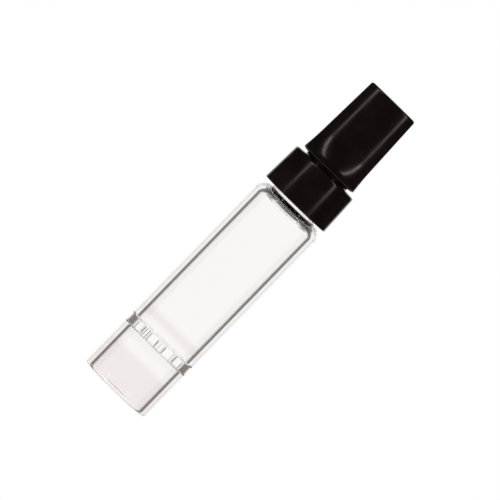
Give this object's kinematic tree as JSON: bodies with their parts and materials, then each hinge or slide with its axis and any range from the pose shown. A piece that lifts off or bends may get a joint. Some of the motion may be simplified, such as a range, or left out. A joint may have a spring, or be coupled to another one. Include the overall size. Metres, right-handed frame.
{
  "type": "glass mouthpiece tube",
  "caption": "Clear glass draw tube with a fused perforated disc near its open end, necked into a black push-on collar with a turning, flattened mouthpiece.",
  "frame": {"origin": "centre of the open lower rim, in the plane the tube stands on", "axes": "+Z along the tube towards the mouthpiece, +X along the wide way of the flattened mouth"},
  "size_m": [0.016, 0.016, 0.0788],
  "materials": {
    "clear_glass": "clear, fire-polished",
    "black_plastic": "gloss black, moulded",
    "soft_seal": "matte grey"
  },
  "bodies": {
    "glass": {"glass_tube": "clear_glass", "screen_disc": "clear_glass"},
    "collar": {"tip_collar": "black_plastic", "neck_seal": "soft_seal"},
    "mouth": {"mouth_section": "black_plastic", "spigot_ring": "soft_seal"}
  },
  "joints": [
    {"name": "collar_pull", "type": "slide", "parent": "glass", "child": "collar", "axis": [0, 0, 1], "range_m": [0, 0.012]},
    {"name": "mouth_turn", "type": "hinge", "parent": "collar", "child": "mouth", "pos_m": [0, 0, 0.0597], "axis": [0, 0, 1], "continuous": true}
  ]
}
